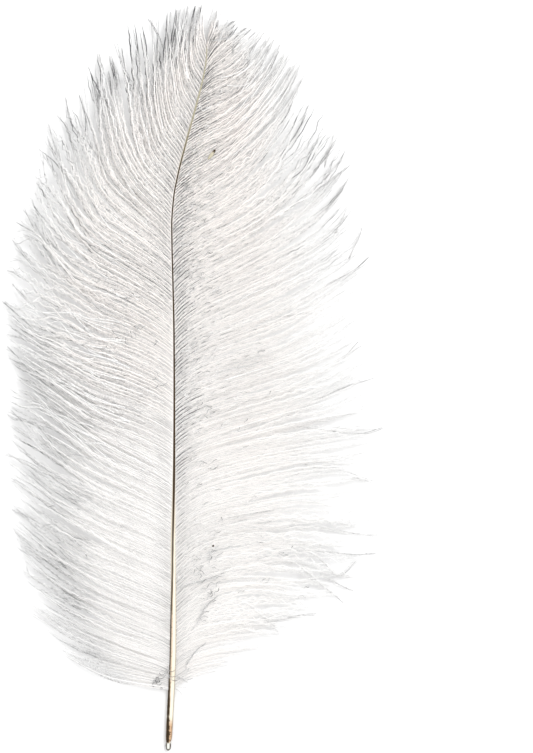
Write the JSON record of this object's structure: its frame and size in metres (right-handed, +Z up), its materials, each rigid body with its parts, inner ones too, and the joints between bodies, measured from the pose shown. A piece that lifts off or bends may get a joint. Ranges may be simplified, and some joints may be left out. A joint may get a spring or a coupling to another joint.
{
  "type": "ostrich feather",
  "caption": "Full white ostrich plume lying flat: a bare horn quill running into a grooved shaft with soft, drooping vanes of loose barbs on both sides.",
  "frame": {"origin": "on the surface the feather lies on, under the middle of its outer box", "axes": "+Y along the feather from the quill's cut end to the tip, +X to the right as seen from above, +Z up out of the surface"},
  "size_m": [0.2262, 0.4478, 0.0169],
  "materials": {
    "barbs": "soft white down, loose barbs",
    "quill": "ivory horn with a dark brown stripe"
  },
  "bodies": {
    "root": {"feather": "barbs"}
  },
  "joints": []
}
